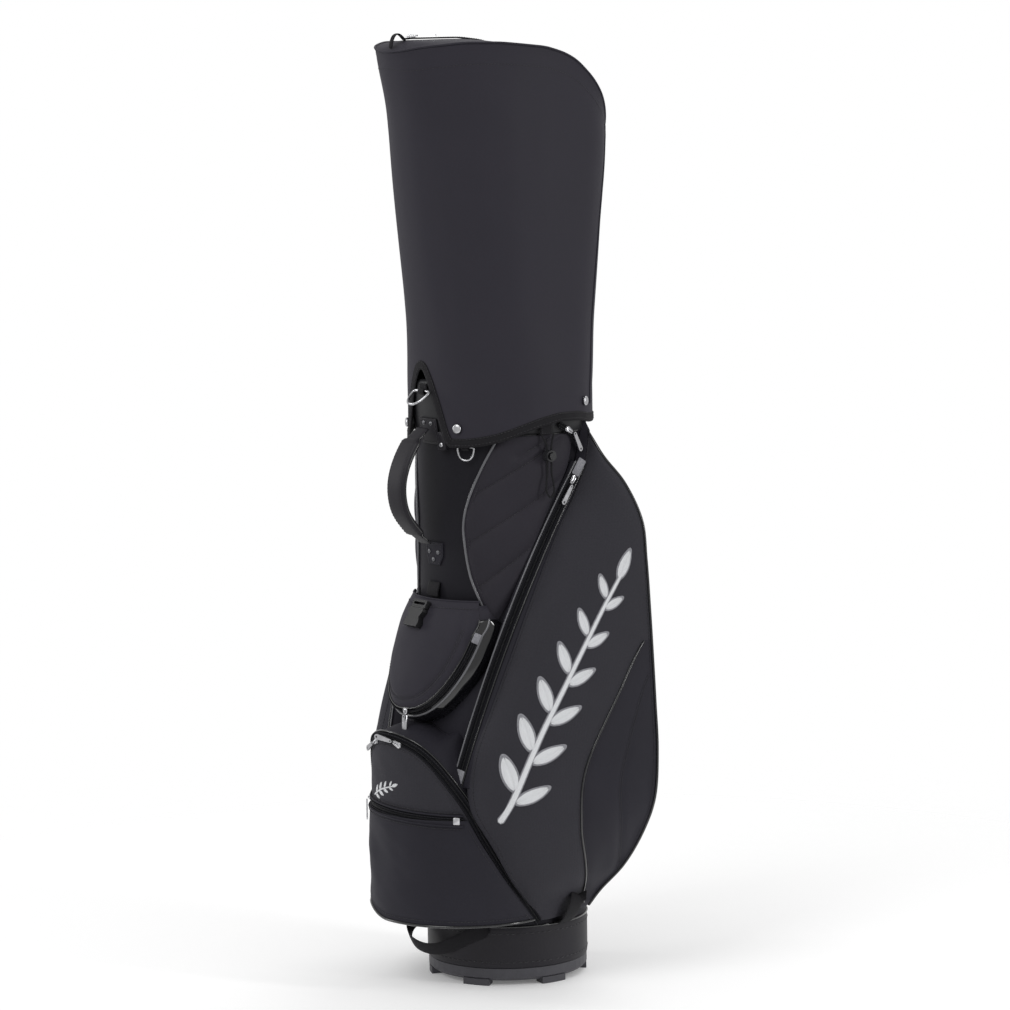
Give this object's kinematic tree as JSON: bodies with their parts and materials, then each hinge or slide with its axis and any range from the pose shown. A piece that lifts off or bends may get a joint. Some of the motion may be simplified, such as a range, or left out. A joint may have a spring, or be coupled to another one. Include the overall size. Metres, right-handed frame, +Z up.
{
  "type": "golf staff bag",
  "caption": "Tall round golf bag with a lift-off rain hood, moulded base and cuff, zipped side, ball and valuables pockets, a carry handle and rings.",
  "frame": {"origin": "centre of the base pad, on the floor, on the axis of the tube", "axes": "+Z up along the tube; -Y is the front, with the carry handle and the ball pocket; +X is the side with the towel loop"},
  "size_m": [0.3962, 0.3476, 1.2686],
  "materials": {
    "body_fabric": "matte coated woven polyester",
    "hood_fabric": "matte coated nylon",
    "quilted_fabric": "matte padded fabric with sewn lines",
    "patent_leather": "glossy patent",
    "leather": "fine grained synthetic leather",
    "webbing": "ribbed webbing",
    "plastic": "satin moulded",
    "base_plastic": "moulded, slightly worn",
    "lining": "brushed lining",
    "zip_tape": "woven tape with coil teeth",
    "nickel": "satin nickel plating"
  },
  "bodies": {
    "bag": {"base_ring": "base_plastic", "base_band": "leather", "tube_shell": "body_fabric", "top_cuff": "plastic", "divider_frame": "plastic", "divider_sheets": "lining", "side_pocket_right": "body_fabric", "side_pocket_left": "body_fabric", "side_zip_track_right": "zip_tape", "side_zip_track_left": "zip_tape", "upper_zip_track": "zip_tape", "quilt_panel_right": "quilted_fabric", "quilt_panel_left": "quilted_fabric", "front_panel": "body_fabric", "ball_pocket_gusset": "body_fabric", "ball_zip_track": "zip_tape", "pouch_gusset": "patent_leather", "buckle_webbing": "webbing", "handle_strap_upper": "leather", "handle_strap_lower": "leather", "ring_tab_large": "webbing", "ring_tab_small": "webbing", "towel_tab": "webbing", "towel_cord": "webbing", "base_loop_front": "webbing", "base_loop_side": "webbing"},
    "hood": {"hood_shell": "hood_fabric", "hood_zip_track": "zip_tape", "hood_pull_loop": "webbing", "hood_snap_front_right": "nickel", "hood_snap_rear_right": "nickel", "hood_snap_front_left": "nickel", "hood_snap_rear_left": "nickel"},
    "hood_slider": {"hood_zip_slider": "nickel"},
    "hood_pull": {"hood_zip_pull": "nickel"},
    "side_slider_right": {"side_zip_slider_right": "nickel"},
    "side_pull_right": {"side_zip_pull_right": "nickel"},
    "side_slider_left": {"side_zip_slider_left": "nickel"},
    "side_pull_left": {"side_zip_pull_left": "nickel"},
    "upper_slider": {"upper_zip_slider": "nickel"},
    "upper_pull": {"upper_zip_pull": "nickel"},
    "ball_door": {"ball_pocket_door": "body_fabric", "ball_front_pocket": "body_fabric"},
    "ball_slider_right": {"ball_zip_slider_right": "nickel"},
    "ball_pull_right": {"ball_zip_pull_right": "nickel"},
    "ball_slider_left": {"ball_zip_slider_left": "nickel"},
    "ball_pull_left": {"ball_zip_pull_left": "nickel"},
    "front_slider": {"front_zip_slider": "nickel"},
    "front_pull": {"front_zip_pull": "nickel"},
    "pouch_lid": {"pouch_lid": "body_fabric", "buckle_clip": "plastic"},
    "pouch_slider": {"pouch_zip_slider": "nickel"},
    "pouch_pull": {"pouch_zip_pull": "nickel"},
    "buckle": {"buckle_body": "plastic"},
    "handle": {"handle_grip": "leather"},
    "ring_large": {"ring_large": "nickel"},
    "ring_small": {"ring_small": "nickel"},
    "cord_lock": {"cord_lock": "plastic"},
    "cord_button": {"cord_lock_button": "plastic"}
  },
  "joints": [
    {"name": "hood_lift", "type": "slide", "parent": "bag", "child": "hood", "axis": [0, 0, 1], "range_m": [0, 0.55]},
    {"name": "hood_zip", "type": "slide", "parent": "hood", "child": "hood_slider", "axis": [0, 1, 0], "range_m": [0, 0.068]},
    {"name": "hood_pull_swing", "type": "hinge", "parent": "hood_slider", "child": "hood_pull", "pos_m": [0, -0.126, 1.2659], "axis": [1, 0, 0], "range_deg": [0, 60]},
    {"name": "side_zip_right", "type": "hinge", "parent": "bag", "child": "side_slider_right", "pos_m": [-0.40304, 0.84886, 0.13196], "axis": [0.8842, 0.3983, -0.2439], "range_deg": [0, 5.5]},
    {"name": "side_pull_swing_right", "type": "hinge", "parent": "side_slider_right", "child": "side_pull_right", "pos_m": [0.12045, 0.0271, 0.66956], "axis": [0.0539, -0.8343, 0.5487], "range_deg": [0, 25]},
    {"name": "side_zip_left", "type": "hinge", "parent": "bag", "child": "side_slider_left", "pos_m": [0.40304, 0.84886, 0.13196], "axis": [0.8842, -0.3983, 0.2439], "range_deg": [0, 5.5]},
    {"name": "side_pull_swing_left", "type": "hinge", "parent": "side_slider_left", "child": "side_pull_left", "pos_m": [-0.12045, 0.0271, 0.66956], "axis": [0.0539, 0.8343, -0.5487], "range_deg": [0, 25]},
    {"name": "upper_zip", "type": "hinge", "parent": "bag", "child": "upper_slider", "pos_m": [0.07777, -0.03749, 0.66152], "axis": [-0.9214, 0.065, 0.3833], "range_deg": [0, 7.5]},
    {"name": "upper_pull_swing", "type": "hinge", "parent": "upper_slider", "child": "upper_pull", "pos_m": [0.12094, 0.03366, 0.73954], "axis": [0.1078, -0.5236, -0.8451], "range_deg": [0, 60]},
    {"name": "ball_door_tilt", "type": "hinge", "parent": "bag", "child": "ball_door", "pos_m": [0, -0.194, 0.096], "axis": [1, 0, 0], "range_deg": [0, 25]},
    {"name": "ball_zip_right", "type": "hinge", "parent": "ball_door", "child": "ball_slider_right", "pos_m": [-0.06148, -0.13228, 0.18207], "axis": [-0.1039, 0.9175, 0.3838], "range_deg": [0, 16]},
    {"name": "ball_pull_swing_right", "type": "hinge", "parent": "ball_slider_right", "child": "ball_pull_right", "pos_m": [0.01412, -0.19772, 0.33942], "axis": [0.3784, 0.0678, 0.9232], "range_deg": [0, 60]},
    {"name": "ball_zip_left", "type": "hinge", "parent": "ball_door", "child": "ball_slider_left", "pos_m": [0.06148, -0.13228, 0.18207], "axis": [-0.1039, -0.9175, -0.3838], "range_deg": [0, 14]},
    {"name": "ball_pull_swing_left", "type": "hinge", "parent": "ball_slider_left", "child": "ball_pull_left", "pos_m": [-0.04031, -0.1897, 0.32756], "axis": [-0.4122, 0.1046, 0.9051], "range_deg": [0, 60]},
    {"name": "front_zip", "type": "hinge", "parent": "ball_door", "child": "front_slider", "pos_m": [0, -0.07, 0.24], "axis": [0, 0, 1], "range_deg": [0, 52]},
    {"name": "front_pull_swing", "type": "hinge", "parent": "front_slider", "child": "front_pull", "pos_m": [-0.07842, -0.17406, 0.242], "axis": [-0.7986, 0.6018, 0], "range_deg": [0, 40]},
    {"name": "pouch_lid_lift", "type": "hinge", "parent": "bag", "child": "pouch_lid", "pos_m": [0, -0.104, 0.524], "axis": [1, 0, 0], "range_deg": [-35, 0]},
    {"name": "pouch_zip", "type": "hinge", "parent": "pouch_lid", "child": "pouch_slider", "pos_m": [-0.00652, -0.11684, 0.46473], "axis": [0.1789, -0.8451, 0.5038], "range_deg": [0, 20]},
    {"name": "pouch_pull_swing", "type": "hinge", "parent": "pouch_slider", "child": "pouch_pull", "pos_m": [0.00905, -0.17178, 0.36839], "axis": [-1, 0, 0], "range_deg": [0, 60]},
    {"name": "buckle_release", "type": "slide", "parent": "pouch_lid", "child": "buckle", "axis": [0, -0.4751, -0.8799], "range_m": [0, 0.022]},
    {"name": "handle_swing", "type": "hinge", "parent": "bag", "child": "handle", "pos_m": [0, -0.117, 0.67], "axis": [0, 0, 1], "range_deg": [-18, 18]},
    {"name": "ring_large_swing", "type": "hinge", "parent": "bag", "child": "ring_large", "pos_m": [0, -0.1266, 0.799], "axis": [1, 0, 0], "range_deg": [-20, 46]},
    {"name": "ring_small_swing", "type": "hinge", "parent": "bag", "child": "ring_small", "pos_m": [0.06077, -0.10115, 0.7275], "axis": [0.8572, 0.515, 0], "range_deg": [-60, 0]},
    {"name": "cord_lock_slide", "type": "slide", "parent": "bag", "child": "cord_lock", "axis": [0, 0, 1], "range_m": [-0.012, 0.006]},
    {"name": "cord_lock_press", "type": "slide", "parent": "cord_lock", "child": "cord_button", "axis": [-0.9962, 0.0872, 0], "range_m": [0, 0.002], "stiffness_N_per_m": 400, "springref_m": -0.001}
  ]
}
